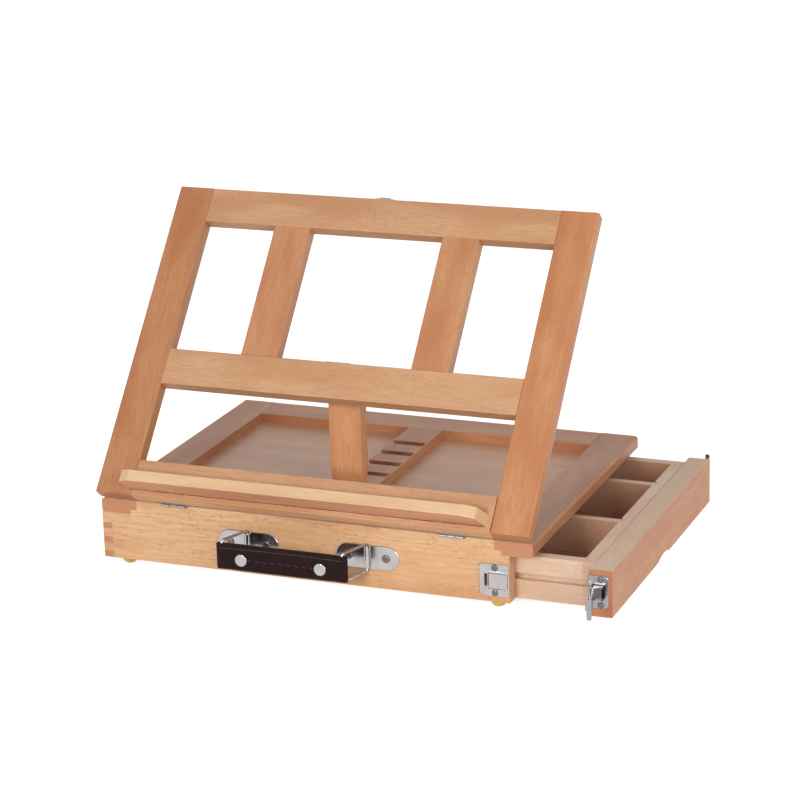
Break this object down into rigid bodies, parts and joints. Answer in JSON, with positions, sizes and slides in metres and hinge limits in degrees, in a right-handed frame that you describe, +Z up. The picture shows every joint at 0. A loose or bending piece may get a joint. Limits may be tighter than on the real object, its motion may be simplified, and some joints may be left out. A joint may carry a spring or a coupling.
{
  "type": "table box easel",
  "caption": "Wooden tabletop box easel: a shallow case with a side drawer, a tilting canvas frame held by a ratchet strut, a carrying handle and draw latches.",
  "frame": {"origin": "centre of the underside of the whole object in its working pose, on the plane that the feet stand on", "axes": "+X to the side that the drawer opens, +Y from the front with the handle to the back, +Z up"},
  "size_m": [0.4688, 0.3702, 0.2992],
  "materials": {
    "beech_warm": "satin varnished steamed beech",
    "beech_pale": "satin varnished pale beech",
    "beech_plain": "oiled beech",
    "beech_plywood": "satin varnished plywood",
    "nickel": "polished nickel plate",
    "leather": "smooth dark brown leather",
    "foot_plastic": "glossy yellow bumper"
  },
  "bodies": {
    "case": {"lid_left_stile": "beech_warm", "lid_right_stile": "beech_warm", "lid_rear_rail": "beech_warm", "ratchet_rack": "beech_warm", "lid_left_panel": "beech_plywood", "lid_right_panel": "beech_plywood", "drawer_runners": "beech_plain", "feet": "foot_plastic", "case_hinge_leaves": "nickel", "case_hinge_pins": "nickel", "case_hinge_screws": "nickel", "keeper_front": "nickel", "keeper_back": "nickel", "rear_catch_plate": "nickel", "handle_bracket_left": "nickel", "handle_bracket_right": "nickel", "handle_bracket_screws": "nickel", "front_wall": "beech_pale", "back_wall": "beech_pale", "left_wall": "beech_pale", "plate_screws": "nickel"},
    "easel_frame": {"frame_hinge_leaves": "nickel", "frame_hinge_screws": "nickel", "frame_left_stile": "beech_warm", "frame_right_stile": "beech_warm", "canvas_ledge": "beech_pale", "frame_left_upright": "beech_warm", "frame_right_upright": "beech_warm", "strut_hinge_frame_leaf": "nickel", "strut_hinge_pin": "nickel", "strut_hinge_frame_screws": "nickel", "frame_bottom_rail": "beech_warm", "frame_mid_rail": "beech_warm", "frame_top_rail": "beech_warm", "catch_keeper": "nickel"},
    "strut": {"strut": "beech_warm", "strut_hinge_strut_leaf": "nickel", "strut_hinge_strut_screws": "nickel"},
    "drawer": {"latch_plate_front": "nickel", "latch_plate_back": "nickel", "latch_screws": "nickel", "drawer_divider_front": "beech_plain", "drawer_divider_back": "beech_plain", "drawer_front": "beech_plain", "drawer_front_side": "beech_plain", "drawer_back_side": "beech_plain", "drawer_left_end": "beech_plain", "drawer_right_end": "beech_plain", "drawer_bottom": "beech_plywood"},
    "latch_lever_front": {"latch_lever_front": "nickel"},
    "latch_claw_front": {"latch_claw_front": "nickel"},
    "latch_lever_back": {"latch_lever_back": "nickel"},
    "latch_claw_back": {"latch_claw_back": "nickel"},
    "rear_catch_lever": {"rear_catch_lever": "nickel"},
    "rear_catch_claw": {"rear_catch_claw": "nickel"},
    "handle_loop_left": {"handle_loop_left": "nickel"},
    "handle_loop_right": {"handle_loop_right": "nickel"},
    "handle_grip": {"handle_grip": "leather", "handle_rivets": "nickel"}
  },
  "joints": [
    {"name": "frame_tilt", "type": "hinge", "parent": "case", "child": "easel_frame", "pos_m": [-0.0344, -0.15099, 0.0605], "axis": [1, 0, 0], "range_deg": [0, 60]},
    {"name": "strut_swing", "type": "hinge", "parent": "easel_frame", "child": "strut", "pos_m": [-0.0344, -0.05596, 0.16837], "axis": [1, 0, 0], "range_deg": [0, 139.1]},
    {"name": "drawer_slide", "type": "slide", "parent": "case", "child": "drawer", "axis": [1, 0, 0], "range_m": [-0.0688, 0.17]},
    {"name": "latch_lever_front_turn", "type": "hinge", "parent": "drawer", "child": "latch_lever_front", "pos_m": [0.216, -0.15199, 0.0251], "axis": [0, 0, 1], "range_deg": [-85, 0]},
    {"name": "latch_claw_front_turn", "type": "hinge", "parent": "latch_lever_front", "child": "latch_claw_front", "pos_m": [0.219, -0.15404, 0.0251], "axis": [0, 0, -1], "range_deg": [0, 104]},
    {"name": "latch_lever_back_turn", "type": "hinge", "parent": "drawer", "child": "latch_lever_back", "pos_m": [0.216, 0.15601, 0.0251], "axis": [0, 0, -1], "range_deg": [-85, 0]},
    {"name": "latch_claw_back_turn", "type": "hinge", "parent": "latch_lever_back", "child": "latch_claw_back", "pos_m": [0.219, 0.15806, 0.0251], "axis": [0, 0, 1], "range_deg": [0, 104]},
    {"name": "rear_catch_lever_turn", "type": "hinge", "parent": "case", "child": "rear_catch_lever", "pos_m": [-0.0344, 0.15601, 0.044], "axis": [-1, 0, 0], "range_deg": [-85, 0]},
    {"name": "rear_catch_claw_turn", "type": "hinge", "parent": "rear_catch_lever", "child": "rear_catch_claw", "pos_m": [-0.0344, 0.15806, 0.041], "axis": [1, 0, 0], "range_deg": [0, 104]},
    {"name": "handle_swing", "type": "hinge", "parent": "case", "child": "handle_loop_left", "pos_m": [-0.0934, -0.15159, 0.0333], "axis": [0, 0, 1], "range_deg": [-50, 90]},
    {"name": "handle_loop_right_turn", "type": "hinge", "parent": "case", "child": "handle_loop_right", "pos_m": [0.0176, -0.15159, 0.0333], "axis": [0, 0, 1], "range_deg": [-50, 90]},
    {"name": "handle_grip_turn", "type": "hinge", "parent": "handle_loop_left", "child": "handle_grip", "pos_m": [-0.104, -0.18072, 0.0333], "axis": [0, 0, 1], "range_deg": [-90, 50]}
  ],
  "couplings": [
    {"joint": "handle_loop_right_turn", "follows": "handle_swing", "ratio": 1},
    {"joint": "handle_grip_turn", "follows": "handle_swing", "ratio": -1}
  ]
}
